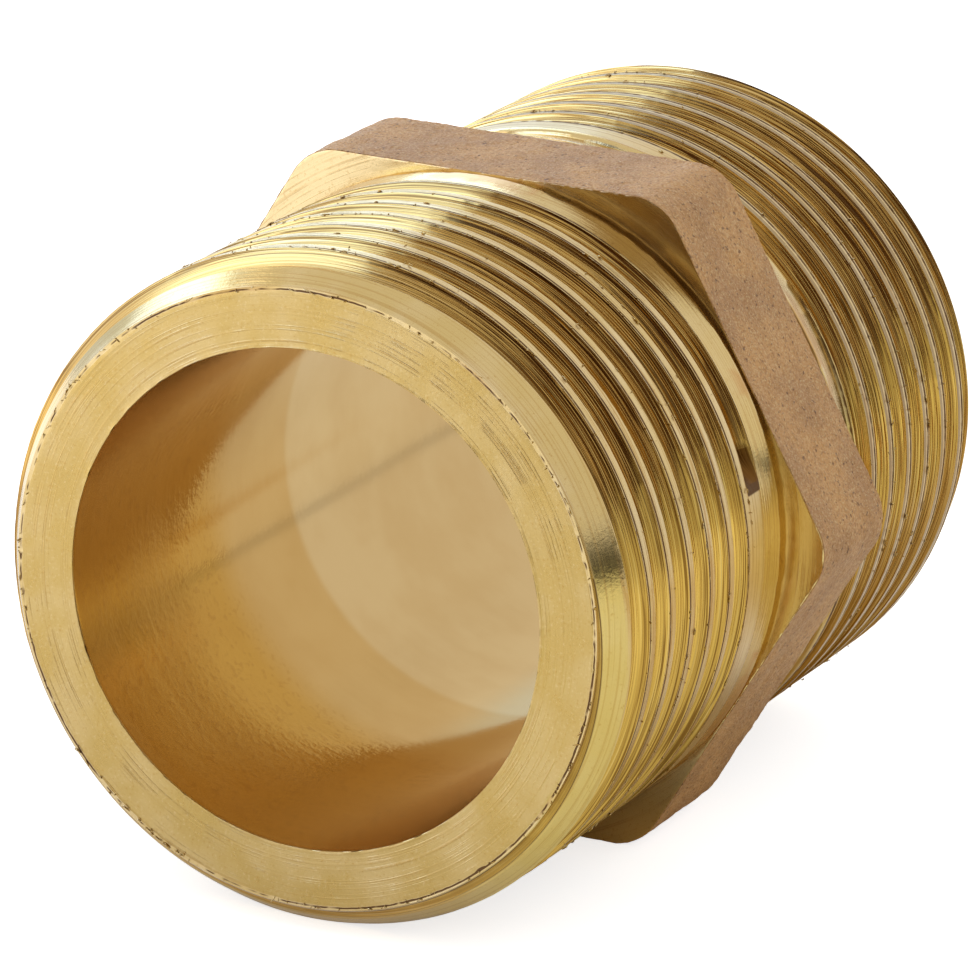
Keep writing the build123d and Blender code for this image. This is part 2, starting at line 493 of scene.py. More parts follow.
def wrench_section(name, size, seed, materials):
    """The forged hexagon as a closed ring: bore wall, front face, flats and rear face. A face's
    rows go from the bore's circle out to the hexagon, p = (1 - u) * circle + u * outline. The
    flats carry the skin's waviness as a push along the outward normal."""
    steps, rim = 600, 0.025
    half, bore = size.hexagon_width / MM / 2, size.bore_diameter / MM / 2
    outline, normal, along = hexagon_outline(size, steps)
    angle = np.arctan2(-outline[:, 0], outline[:, 1])
    circle = bore * np.stack([-np.sin(angle), np.cos(angle)], -1)
    wall = np.linspace(half, -half, 7)
    fan = np.concatenate([[0.02, 0.45], np.linspace(0.6, 0.985, 14)])
    cuts = np.random.default_rng(seed).normal(size=len(fan)) * 0.0015
    width = np.concatenate([[-half + 0.02], np.linspace(-half + 0.09, half - 0.09, 34), [half - 0.02]])

    def flat_row(x, share, inset=0.0):
        """One row at x: the circle at share 0, and the outline less its inset at share 1."""
        yz = (1 - share) * circle + share * (outline - normal * inset)
        return np.concatenate([np.full((len(yz), 1), x), yz], 1)

    rows = [flat_row(x, 0.0) for x in wall]
    rows += [flat_row(-half + c * (s > 0.5), s, rim) for s, c in zip(fan, cuts)]
    rows += [flat_row(-half, 1.0, rim)]
    first_side = len(rows)
    rows += [flat_row(x, 1.0) for x in width]
    last_side = len(rows) - 1
    rows += [flat_row(half, 1.0, rim)]
    rows += [flat_row(half - c * (s > 0.5), s, rim) for s, c in zip(fan[::-1], cuts[::-1])]
    rows += [rows[0]]
    grid = np.stack(rows)

    # The skin's waves and pits fade towards the sheared edges, which carry a burr instead.
    side = slice(first_side, last_side + 1)
    spot = grid[side]
    skin = sum(height * grain(spot, wave, seed + i) for i, (height, wave) in enumerate(SKIN_WAVES, 1))
    pits = ease(grain(spot, 0.6, seed + 4), 1.8, 2.8) * 0.03
    inward = half - np.abs(spot[..., 0])
    push = (skin - pits) * (0.35 + 0.65 * np.minimum(1, inward / 0.25))
    burr = np.exp(-(inward / 0.05) ** 2)
    push += 0.012 * burr * np.clip(0.6 + grain(spot, 0.5, seed + 5), 0, 2)
    grid[side, :, 1:] += push[..., None] * normal
    ragged = grain(grid[side][[0, -1]], 0.6, seed + 6)
    grid[first_side, :, 0] -= 0.008 + 0.008 * ragged[0]
    grid[last_side, :, 0] += 0.008 + 0.008 * ragged[1]

    count = len(rows) - 1
    number = np.zeros((count + 1, steps + 1), int)
    number[:count, :-1] = np.arange(count * steps).reshape(count, steps)
    number[-1, :-1] = number[0, :-1]
    number[:, -1] = number[:, 0]
    places = np.zeros((count * steps, 3))
    places[number[:count, :-1]] = grid[:count, :-1]
    kind = np.full((count, steps), SHOULDER)
    kind[:len(wall) - 1] = BORED
    kind[first_side - 1:last_side + 1] = SKIN
    radius = np.linalg.norm(grid[..., 1:], axis=-1)
    uv = np.stack([np.broadcast_to(along, radius.shape), radius + grid[..., 0]], -1)
    # Painted shade on the front face, from about 8 to 65 degrees: a dark brown that stands for the dark
    # collar and thread that the face mirrors there.
    front = grid[:first_side, :-1]
    clock = np.degrees(np.arctan2(-front[..., 1], front[..., 2])) + 6 * grain(front, 1.5, seed + 7)
    zero = np.zeros(len(places))
    sunk = zero.copy()
    sunk[number[:first_side, :-1]] = ease(clock, 4, 12) * (1 - ease(clock, 60, 70))
    fields = {"skin": zero, "sunk": sunk, "lead": zero, "torn": zero}
    return grid_mesh(name, places, number, uv, kind, materials, fields)


# One burr lies along an edge as eight points: a tip, two three-sided rings and a tip. ALONG is
# each point's place on its length, TURN its angle round it, RING the rings' share of its
# thickness, and LIFT and LEAN how much of its height and lean it takes. Its faces run outwards.
ALONG = np.array([-0.5, -0.18, -0.18, -0.18, 0.22, 0.22, 0.22, 0.5])
TURN = np.array([0, 0, 1, 2, 0, 1, 2, 0]) * 2 * np.pi / 3 + np.array([0, 0, 0, 0, 0.6, 0.6, 0.6, 0])
RING = np.array([0, 1, 1, 1, 1, 1, 1, 0])
LIFT = np.array([0, 0.8, 0.8, 0.8, 1, 1, 1, 0.5])
LEAN = np.array([0, 0.3, 0.3, 0.3, 0.7, 0.7, 0.7, 1])
TIP_FACES = np.array([[0, 2, 1], [0, 3, 2], [0, 1, 3], [7, 4, 5], [7, 5, 6], [7, 6, 4]])
SIDE_FACES = np.array([[1, 2, 5, 4], [2, 3, 6, 5], [3, 1, 4, 6]])
# Burrs stand on the full crests, from the cumulative angle where the lead ends, in clusters and
# here and there, and stop short of where the groove runs out.
FIRST_BURR, LAST_CLUSTER, CLUSTERS, CLUSTER_SPREAD, STOP_SHORT = 330, 2280, 40, 17, 210


def burrs(name, size, ends, count, seed, materials):
    """Slivers and chips standing along the edges of the crests and round the end faces. A point of
    a burr is c + a * along + h * out + w * (along x out), where h and w go round its length. The
    edge's place on the thread is t = first_crest + pitch * wound / 360 -+ crest / 2."""
    rng = np.random.default_rng(seed)
    radius, pitch = size.thread_diameter / MM / 2, size.pitch / MM
    half, length = size.crest_width / MM / 2, size.total_length / MM
    face = size.end_face_diameter / MM / 2
    rear = rng.random(count) < 0.33
    rimmed = rng.random(count) < 0.22
    first, last = (np.where(rear, ends[1][k], ends[0][k]) for k in ("first_crest", "last_groove"))
    heart = FIRST_BURR + rng.random(CLUSTERS) * (LAST_CLUSTER - FIRST_BURR)
    clustered = rng.random(count) < 0.65
    inside = rng.choice(heart, count) + rng.normal(size=count) * CLUSTER_SPREAD
    lone = FIRST_BURR + rng.random(count) * (last - STOP_SHORT - FIRST_BURR)
    wound = np.where(clustered, inside, lone)
    angle = np.where(rimmed, rng.random(count) * 360, wound) * np.pi / 180
    side = np.where(rng.random(count) < 0.8, -1.0, 1.0)
    t = np.where(rimmed, -0.01, first + pitch * wound / 360 + side * (half - 0.01))
    r = np.where(rimmed, face - 0.03 - 0.12 * rng.random(count) ** 2, radius + 0.012)
    zero = np.zeros(count)
    around_axis = np.stack([zero, -np.cos(angle), -np.sin(angle)], -1)
    radial = np.stack([zero, -np.sin(angle), np.cos(angle)], -1)
    forward = np.stack([zero - 1, zero, zero], -1)
    out = np.where(rimmed[:, None], forward, radial)
    slant = np.where(rng.random(count) < 0.75, 0.15, 1.2) * rng.normal(size=count)
    level = np.cross(around_axis, out)
    along = around_axis * np.cos(slant)[:, None] + level * np.sin(slant)[:, None]
    cross = np.cross(along, out)
    centre = np.stack([t - length / 2, -r * np.sin(angle), r * np.cos(angle)], -1)
    long = 0.07 + 0.38 * rng.random(count)[:, None] ** 3
    thick = 0.018 + 0.032 * rng.random(count)[:, None] ** 1.5
    lift = 0.006 + 0.065 * rng.random(count)[:, None] ** 2
    lean = 0.06 * rng.normal(size=count)[:, None]
    a = ALONG * long
    h = RING * np.cos(TURN) * thick + LIFT * lift
    w = RING * np.sin(TURN) * thick + LEAN * lean
    places = centre[:, None] + a[..., None] * along[:, None] + h[..., None] * out[:, None]
    places += w[..., None] * cross[:, None]
    places *= np.where(rear, -1.0, 1.0)[:, None, None] * np.array([1, 1, 0]) + np.array([0, 0, 1])
    start = 8 * np.arange(count)[:, None, None]
    threes, fours = (TIP_FACES + start).reshape(-1, 3), (SIDE_FACES + start).reshape(-1, 4)
    mesh = bpy.data.meshes.new(name)
    mesh.from_pydata((places.reshape(-1, 3) * MM).tolist(), [], threes.tolist() + fours.tolist())
    for material in materials:
        mesh.materials.append(material)
    tips, sides = (rng.integers(0, len(materials), count) for _ in range(2))
    kinds = np.concatenate([np.repeat(tips, len(TIP_FACES)), np.repeat(sides, len(SIDE_FACES))])
    mesh.polygons.foreach_set("material_index", kinds.astype(np.int32))
    mesh.shade_smooth()
    piece = bpy.data.objects.new(name, mesh)
    bpy.context.scene.collection.objects.link(piece)
    return piece


# ---------------------------------------------------------------- finishes

# Each step of a node tree: the kind of its node, the node's settings, the sockets that its values
# fill in order, and the output that it gives, or None for all of them. Any other step is the name
# of one of the Math node's operations.
STEPS = {
    "places": ("TexCoord", {}, (), "Object"),
    "directions": ("TexCoord", {}, (), "Generated"),
    "cut lines": ("UVMap", {"uv_map": "CutLines"}, (), 0),
    "field": ("Attribute", {}, (), "Fac"),
    "rays": ("LightPath", {}, (), None),
    "split": ("SeparateXYZ", {}, (0,), None),
    "join": ("CombineXYZ", {}, (0, 1, 2), 0),
    "scale": ("VectorMath", {"operation": "MULTIPLY"}, (0, 1), 0),
    "length": ("VectorMath", {"operation": "LENGTH"}, (0,), "Value"),
    "noise": ("TexNoise", {}, ("Vector", "Scale", "Detail", "Roughness"), 0),
    "range": ("MapRange", {"interpolation_type": "SMOOTHSTEP"}, (0, 1, 2, 3, 4), 0),
    "blend": ("Mix", {"data_type": "RGBA"}, (0, 6, 7), 2),
    "ramp": ("ValToRGB", {}, (0,), 0),
    "bump": ("Bump", {}, ("Height", "Distance", "Normal"), 0),
    "brass": ("BsdfPrincipled", {}, ("Base Color", "Roughness", "Normal", "Metallic", "Specular Tint"), 0),
    "matt": ("BsdfDiffuse", {}, ("Color",), 0),
    "glow": ("Emission", {}, ("Color", "Strength"), 0),
    "both": ("AddShader", {}, (0, 1), 0),
    "light": ("Background", {}, ("Color",), 0),
    "surface": ("OutputMaterial", {}, ("Surface",), None),
    "sky": ("OutputWorld", {}, ("Surface",), None),
}


def add(tree, step, *values, stops=(), **settings):
    """Adds the node of one step with its settings and colour stops, and returns its output, or all
    of them. A value that is itself an output is linked, and any other is set on the socket."""
    kind, usual, sockets, output = STEPS.get(step, ("Math", {"operation": step}, (0, 1, 2), 0))
    node = tree.nodes.new("ShaderNode" + kind)
    for name, value in {**usual, **settings}.items():
        setattr(node, name, value)
    if stops:
        ramp = node.color_ramp.elements
        while len(ramp) < len(stops):
            ramp.new(1.0)
        for element, (position, colour) in zip(ramp, stops):
            element.position = position
            element.color = colour
    for socket, value in zip(sockets, values):
        if isinstance(value, bpy.types.NodeSocket):
            tree.links.new(value, node.inputs[socket])
        else:
            node.inputs[socket].default_value = value
    return node.outputs if output is None else node.outputs[output]


def grey(level):
    """A neutral colour of that linear level."""
    return (level, level, level, 1.0)


def per_mm(size):
    """How many cells of a pattern, each size millimetres across, fit in a metre."""
    return 1 / (size * MM)


def empty_tree(owner):
    """The node tree of a material or a world, with nothing in it."""
    owner.use_nodes = True
    owner.node_tree.nodes.clear()
    return owner.node_tree


def mottle(tree, spot, size, detail=3.0, roughness=0.55):
    """Noise in cells of that many millimetres."""
    return add(tree, "noise", add(tree, "scale", spot, [per_mm(size)] * 3), 1.0, detail, roughness)


def round_lines(tree, spot, across, spacing, run):
    """Noise drawn out into circles about the bore: cells are spacing wide across the cut and run
    long round it, in millimetres. across is the coordinate that the tool moved along."""
    parts = add(tree, "split", spot)
    vector = add(tree, "join", across, parts[1], parts[2])
    cells = (per_mm(spacing), per_mm(run), per_mm(run))
    return add(tree, "noise", add(tree, "scale", vector, cells), 1.0, 2.0, 0.55)


def helix_lines(tree, way, spacing, run):
    """Noise drawn out along the thread: cells are spacing wide across its profile and run long
    along its helix, in millimetres. way is the piece's own map in millimetres."""
    return add(tree, "noise", add(tree, "scale", way, (1 / run, 1 / spacing, 1.0)), 1.0, 1.0, 0.55)


def toned(tree, tone, colour, pattern, low, high, share):
    """tone, with up to share of colour mixed in as the pattern goes from low to high."""
    return add(tree, "blend", add(tree, "range", pattern, low, high, 0.0, share), tone, colour)


def finished(material, tone, rough, bumps, metallic=1.0, edge_tint=grey(1.0)):
    """Puts a finish together. bumps are patterns with their full height in millimetres, laid one
    over the other. edge_tint colours what the metal mirrors at a glancing angle."""
    tree = material.node_tree
    normal = ()
    for pattern, height in bumps:
        normal = (add(tree, "bump", pattern, height * MM, *normal),)
    add(tree, "surface", add(tree, "brass", tone, rough, *normal, metallic, edge_tint))
    return material


def faced_brass(finish, name, base, roughness, depth):
    """Leaded brass faced on a lathe. The tool leaves fine circles, so that highlights smear
    across them, and loose grit leaves specks and short scuffs. The sunk field brings painted shade,
    a dark brown for a dark reflection, and depth is the height of the tool's marks in millimetres."""
    material = bpy.data.materials.new(name)
    tree = empty_tree(material)
    spot = add(tree, "places")
    darkening = add(tree, "field", attribute_name="sunk")
    radius = add(tree, "length", add(tree, "scale", spot, (0.0, 1.0, 1.0)))
    # Real feed marks are about 0.06 mm apart, drawn at 0.09 mm so that they show.
    lines = round_lines(tree, spot, radius, 0.09, 13.0)
    coarse = round_lines(tree, spot, radius, 0.35, 14.0)
    speck = mottle(tree, spot, 0.13, 2.0)
    cloud = mottle(tree, spot, 3.0)
    patch = add(tree, "range", mottle(tree, spot, 1.5, 2.0), 0.42, 0.62)
    mark = add(tree, "MULTIPLY", add(tree, "range", lines, 0.50, 0.68),
               add(tree, "range", patch, 0.0, 1.0, 0.35, 1.0))
    tone = toned(tree, base, finish.pale_brass, cloud, 0.35, 0.65, 0.3)
    tone = add(tree, "blend", add(tree, "MULTIPLY", mark, 0.30), tone, finish.deep_brass)
    tone = toned(tree, tone, finish.deep_brass, speck, 0.56, 0.76, 0.35)
    tone = toned(tree, tone, finish.pale_brass, speck, 0.42, 0.30, 0.25)
    # Painted shade from the sunk field, in the colour of the oxide specks.
    tone = add(tree, "blend", add(tree, "MULTIPLY", darkening, 0.36), tone, finish.oxide_speck_and_painted_shade)
    rough = add(tree, "ADD", add(tree, "range", cloud, 0.3, 0.7, roughness - 0.04, roughness + 0.05),
                add(tree, "MULTIPLY", mark, 0.05))
    return finished(material, tone, rough, [(mark, depth), (coarse, 0.8 * depth), (speck, 0.55 * depth)])


def turned_brass(finish):
    """Leaded brass turned on a lathe along the bore's axis: satin, with fine rings left by the
    feed. The lead field makes the lead chamfer and the collar smoother and yellower than the
    crests, the sunk field brings dark marks that are partly torn metal and grime and partly painted
    shade, and the skin field brings the forged skin where it was only just cleaned off."""
    material = bpy.data.materials.new("turned_brass")
    tree = empty_tree(material)
    spot = add(tree, "places")
    lead, oil, skin = (add(tree, "field", attribute_name=name) for name in ("lead", "sunk", "skin"))
    # Real feed marks are about 0.05 mm apart, drawn at 0.08 mm so that they show.
    lines = round_lines(tree, spot, add(tree, "split", spot)[0], 0.08, 9.0)
    cloud = mottle(tree, spot, 2.2)
    speck = mottle(tree, spot, 0.14, 2.0)
    pale = add(tree, "MULTIPLY", add(tree, "range", cloud, 0.35, 0.65, 0.3, 0.85),
               add(tree, "range", lead, 0.0, 1.0, 1.0, 0.5))
    dark = add(tree, "MULTIPLY", add(tree, "range", lines, 0.50, 0.64),
               add(tree, "range", lead, 0.0, 1.0, 0.55, 0.3))
    tone = add(tree, "blend", pale, finish.cut_brass, finish.pale_brass)
    tone = toned(tree, tone, finish.deep_brass, speck, 0.60, 0.78, 0.4)
    tone = add(tree, "blend", dark, tone, finish.deep_brass)
    # Painted shade from the sunk field: along the torn line of each crest, on the rear half of the rear
    # crests, where the groove runs out and round the end face's outer edge; partly torn metal and grime.
    tone = toned(tree, tone, finish.oxide_speck_and_painted_shade, oil, 0.25, 0.8, 0.92)
    tone = add(tree, "blend", skin, tone, finish.forged_skin)
    uneven = add(tree, "ADD", cloud, add(tree, "MULTIPLY", lines, 0.5))
    rough = add(tree, "ADD", add(tree, "range", uneven, 0.5, 1.0, 0.0, 0.08),
                add(tree, "range", lead, 0.0, 1.0, 0.29, 0.15))
    rough = add(tree, "ADD", rough, add(tree, "range", oil, 0.4, 0.8, 0.0, 0.25))
    rough = add(tree, "MAXIMUM", rough, add(tree, "MULTIPLY", skin, 0.5))
    return finished(material, tone, rough, [(lines, 0.010), (speck, 0.004)])


def thread_cut_brass(finish):
    """Brass cut by a threading die. Its teeth drag fine lines along the helix, and oil and fine
    swarf stay in the roots, where painted shade is added as well, so the grooves look darker and
    warmer than the crests. The sunk field is 1 in a root and above 1 where the groove runs out,
    which is painted shade for a dark reflection, and the torn field raises the lines."""
    material = bpy.data.materials.new("thread_cut_brass")
    tree = empty_tree(material)
    way = add(tree, "cut lines")
    sunk, torn = (add(tree, "field", attribute_name=name) for name in ("sunk", "torn"))
    # Die marks are finer than 0.04 mm, drawn at 0.05, 0.06 and 0.16 mm so that they show.
    lines = helix_lines(tree, way, 0.06, 8.0)
    wide = helix_lines(tree, way, 0.16, 14.0)
    cloud = mottle(tree, add(tree, "places"), 1.6)
    mark = add(tree, "range", lines, 0.44, 0.58)
    # Painted shade in the roots, along with oil and swarf, and painted shade for the dark reflection where
    # the groove runs out.
    dirt_and_painted_shade = add(tree, "MULTIPLY", add(tree, "range", sunk, 0.40, 1.0, 0.0, 0.5),
               add(tree, "range", cloud, 0.25, 0.6, 0.45, 1.0))
    dirt_and_painted_shade = add(tree, "MAXIMUM", dirt_and_painted_shade, add(tree, "range", sunk, 1.05, 1.45, 0.0, 0.9))
    # Dark lines on the flanks beside the crests: partly torn metal, partly painted shadow under the burrs.
    edge = add(tree, "MULTIPLY", add(tree, "range", sunk, 0.36, 0.10),
               add(tree, "range", helix_lines(tree, way, 0.05, 5.0), 0.46, 0.56, 0.05, 0.75))
    tone = toned(tree, finish.die_cut_brass, finish.deep_brass, wide, 0.42, 0.58, 0.25)
    tone = add(tree, "blend", add(tree, "MULTIPLY", mark, 0.22), tone, finish.root_dirt_and_painted_shade)
    tone = toned(tree, tone, finish.pale_brass, lines, 0.40, 0.30, 0.35)
    for darkening in (edge, dirt_and_painted_shade):
        tone = add(tree, "blend", darkening, tone, finish.root_dirt_and_painted_shade)
    rough = add(tree, "ADD", add(tree, "range", wide, 0.4, 0.6, 0.10, 0.17),
                add(tree, "MULTIPLY", dirt_and_painted_shade, 0.3))
    return finished(material, tone, rough, [(add(tree, "MULTIPLY", mark, torn), 0.012),
                                            (add(tree, "MULTIPLY", wide, torn), 0.018)])


def bored_brass(finish):
    """Brass opened with a boring bar: satin, with faint rings that deepen at both mouths. The
    front half was bored first and is darker, and its mouth is the roughest, with pits."""
    material = bpy.data.materials.new("bored_brass")
    tree = empty_tree(material)
    spot = add(tree, "places")
    along = add(tree, "split", spot)[0]
    front = add(tree, "range", along, 0.3 * MM, -0.3 * MM)
    mouth = add(tree, "range", along, -4.5 * MM, -7.5 * MM)
    near = add(tree, "range", add(tree, "ABSOLUTE", along), 12.0 * MM, 17.2 * MM)
    # The bar's feed marks are about 0.1 mm apart, drawn at 0.16 mm so that they show.
    lines = round_lines(tree, spot, along, 0.16, 6.0)
    wide = round_lines(tree, spot, along, 0.9, 12.0)
    pits = mottle(tree, spot, 0.30, 2.0)
    cloud = mottle(tree, spot, 4.0)
    gold = add(tree, "ADD", add(tree, "MULTIPLY", front, 0.5), add(tree, "MULTIPLY", mouth, 0.5))
    pitted = add(tree, "MULTIPLY", mouth, add(tree, "range", pits, 0.54, 0.68, 0.0, 0.65))
    tone = add(tree, "blend", gold, finish.bored_pale, finish.bored_gold)
    tone = toned(tree, tone, finish.deep_brass, cloud, 0.35, 0.7, 0.2)
    tone = add(tree, "blend", pitted, tone, finish.deep_brass)
    rough = add(tree, "ADD", add(tree, "range", cloud, 0.3, 0.7, 0.10, 0.14),
                add(tree, "range", along, -8.0 * MM, -12.5 * MM, 0.0, 0.10))
    rings = add(tree, "MULTIPLY", lines, add(tree, "range", near, 0.0, 1.0, 0.25, 1.0))
    dents = add(tree, "MULTIPLY", pits, add(tree, "range", mouth, 0.0, 1.0, 0.25, 1.0))
    return finished(material, tone, rough, [(rings, 0.004), (wide, 0.005), (dents, 0.006)],
                    edge_tint=(1.0, 0.94, 0.80, 1.0))


def forged_brass_skin(finish):
    """Hot-forged brass left as it came from the die and blasted: a matt, pinkish tan skin, grainy
    to the eye, with dark oxide specks. It scatters light more than bare metal does."""
    material = bpy.data.materials.new("forged_brass_skin")
    tree = empty_tree(material)
    spot = add(tree, "places")
    # Blasting leaves dents under 0.1 mm across, drawn at 0.09 and 0.15 mm so that they show.
    blast = mottle(tree, spot, 0.15, 3.0, 0.65)
    fine = mottle(tree, spot, 0.09, 2.0, 0.6)
    tone = finish.forged_skin
    for colour, pattern, low, high, share in (
            (finish.forged_shade, mottle(tree, spot, 2.6, 4.0), 0.35, 0.65, 0.55),
            (finish.pale_brass, fine, 0.50, 0.66, 0.42),
            (finish.forged_shade, blast, 0.50, 0.66, 0.65),
            (finish.oxide_speck_and_painted_shade, mottle(tree, spot, 0.20, 1.0), 0.64, 0.73, 0.7)):
        tone = toned(tree, tone, colour, pattern, low, high, share)
    rough = add(tree, "range", blast, 0.3, 0.7, 0.48, 0.66)
    return finished(material, tone, rough, [(blast, 0.11), (fine, 0.03)], metallic=0.25)


def finishes(finish):
    """The six finishes in the order of the kinds of face, made once and shared by the pieces."""
    names = ("shoulder_faced_brass", "faced_brass", "turned_brass", "thread_cut_brass", "bored_brass",
             "forged_brass_skin")
    made = [bpy.data.materials.get(name) for name in names]
    if all(made):
        return made
    return [faced_brass(finish, names[SHOULDER], finish.pale_brass, roughness=0.17, depth=0.002),
            faced_brass(finish, names[FACED], finish.faced_gold, roughness=0.30, depth=0.011),
            turned_brass(finish),
            thread_cut_brass(finish),
            bored_brass(finish),
            forged_brass_skin(finish)]


# ---------------------------------------------------------------- operators

# Where each end's first crest stands on the helix, in millimetres from its end face, the
# cumulative angle where its groove runs out, its own seed, and its film and clean for thread_rows.
FRONT = {"first_crest": 0.46, "last_groove": 2597.0, "seed": 11, "crest_painted_shade": 0.0, "clean": 0.0}
REAR = {"first_crest": 1.196, "last_groove": 2494.0, "seed": 57, "crest_painted_shade": 0.55, "clean": 0.4}


def into_frame(piece):
    """Ties a piece to the frame: it rides on the body, and the imported solid is hidden, so that the piece
    shows in its place.
    """
    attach(piece, "root")
    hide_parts(NODE)


class NIPPLE_OT_threaded_ends(bpy.types.Operator):
    """Builds both threaded ends, each with its bore, end face, thread and collar"""
    bl_idname = "nipple.threaded_ends"
    bl_label = "Threaded ends"

    def execute(self, context):
        size, made = context.scene.nipple_sizes, finishes(context.scene.nipple_finish)
        into_frame(threaded_end("front_threaded_end", size, turned_round=False, materials=made, **FRONT))
        into_frame(threaded_end("rear_threaded_end", size, turned_round=True, materials=made, **REAR))
        return {"FINISHED"}


class NIPPLE_OT_wrench_section(bpy.types.Operator):
    """Builds the forged hexagon between the threaded ends"""
    bl_idname = "nipple.wrench_section"
    bl_label = "Wrench section"

    def execute(self, context):
        size, made = context.scene.nipple_sizes, finishes(context.scene.nipple_finish)
        into_frame(wrench_section("wrench_section", size, seed=91, materials=made))
        return {"FINISHED"}


class NIPPLE_OT_burrs(bpy.types.Operator):
    """Builds the slivers and chips that the tools left along the edges"""
    bl_idname = "nipple.burrs"
    bl_label = "Burrs"

    def execute(self, context):
        size, made = context.scene.nipple_sizes, finishes(context.scene.nipple_finish)
        into_frame(burrs("thread_burrs", size, ends=(FRONT, REAR), count=size.burr_count, seed=23,
                         materials=[made[TOP], made[CUT]]))
        return {"FINISHED"}


class NIPPLE_OT_stage(bpy.types.Operator):
    """Sets the floor, the light and the camera"""
    bl_idname = "nipple.stage"
    bl_label = "Stage"

    def execute(self, context):
        scene, stage = context.scene, context.scene.nipple_stage
        white_floor(stage)
        studio_light(scene, stage)
        camera(scene, stage)
        scene.view_settings.view_transform = "Standard"
        return {"FINISHED"}


def white_floor(stage):
    """A white table under the hexagon's lower flat, as a flat grid x, y = side * (u, v). It adds
    white of its own where the camera sees it, little enough that the deepest shadow stays. What
    polished metal mirrors of it is painted by zones, in metres: painted shadow, dark and warm, close
    under the part and behind it on the right, a painted olive reflection in front on the right,
    painted light that makes it paler on the left, and painted shade that makes it dimmer far in front."""
    side = stage.floor_half_size
    u, v = np.meshgrid(np.linspace(-1, 1, 9), np.linspace(-1, 1, 9), indexing="ij")
    places = np.stack([side * u, side * v, np.full_like(u, CAD_BOX[0][2])], -1).reshape(-1, 3)
    number = np.arange(u.size).reshape(u.shape)
    faces = np.stack([number[:-1, :-1], number[1:, :-1], number[1:, 1:], number[:-1, 1:]], -1)
    mesh = bpy.data.meshes.new("floor")
    mesh.from_pydata(places.tolist(), [], faces.reshape(-1, 4).tolist())

    material = bpy.data.materials.new("white_table_painted_reflections")
    tree = empty_tree(material)
    ray = add(tree, "rays")
    spot = add(tree, "places")
    x, y = add(tree, "split", spot)[:2]
    mirrored = add(tree, "MAXIMUM", ray["Is Glossy Ray"], ray["Is Transmission Ray"])
    near = add(tree, "length", add(tree, "scale", spot, (1.3, 1.0, 0.0)))
    # Painted shadow close under the part, only in what the metal mirrors.
    under = add(tree, "MULTIPLY", mirrored, add(tree, "range", near, 0.026, 0.012))
    # Painted shade and a painted warm reflection of the brass, behind the part on the right.
    warm = add(tree, "MULTIPLY", add(tree, "range", x, -0.01, 0.01), add(tree, "range", y, -0.016, -0.028))
    warm = add(tree, "MULTIPLY", add(tree, "MULTIPLY", mirrored, warm), add(tree, "range", x, 0.066, 0.050))
    # A painted olive reflection in front on the right.
    olive = add(tree, "MULTIPLY", add(tree, "range", x, -0.006, -0.012),
                add(tree, "range", y, -0.002, -0.012))
    olive = add(tree, "MULTIPLY", mirrored, olive)
    # Painted shade: the mirrored table is dimmer far in front.
    far = add(tree, "MULTIPLY", add(tree, "range", x, -0.068, -0.090),
              add(tree, "range", y, 0.036, 0.022, 0.0, 0.50))

    tint = add(tree, "blend", warm, grey(0.82), (0.92, 0.76, 0.50, 1.0))
    tint = add(tree, "blend", under, tint, (0.66, 0.50, 0.25, 1.0))
    tint = add(tree, "blend", olive, tint, (0.72, 0.73, 0.54, 1.0))
    shine = add(tree, "blend", olive, grey(1.0), (0.88, 0.93, 0.70, 1.0))
    # Painted light: what the metal mirrors of the table is paler on the left and in front.
    white = add(tree, "ADD", add(tree, "range", y, 0.025, 0.09, 0.28, 0.9),
                add(tree, "range", x, -0.02, -0.05, 0.0, 0.25))
    white = add(tree, "ADD", add(tree, "MULTIPLY", ray["Is Camera Ray"], 0.7),
                add(tree, "MULTIPLY", mirrored, white))
    white = add(tree, "ADD", white, add(tree, "MULTIPLY", olive, 0.12))
    white = add(tree, "SUBTRACT", white, add(tree, "MULTIPLY", mirrored, far))
    white = add(tree, "MULTIPLY", white, add(tree, "SUBTRACT", 1.0, warm))
    # Painted shadow: no added white close under the part, except for the camera.
    clear = add(tree, "MAXIMUM", ray["Is Camera Ray"], add(tree, "range", near, 0.014, 0.026))
    glow = add(tree, "glow", shine, add(tree, "MULTIPLY", white, clear))
    add(tree, "surface", add(tree, "both", add(tree, "matt", tint), glow))
    mesh.materials.append(material)
    floor = bpy.data.objects.new("floor", mesh)
    bpy.context.scene.collection.objects.link(floor)


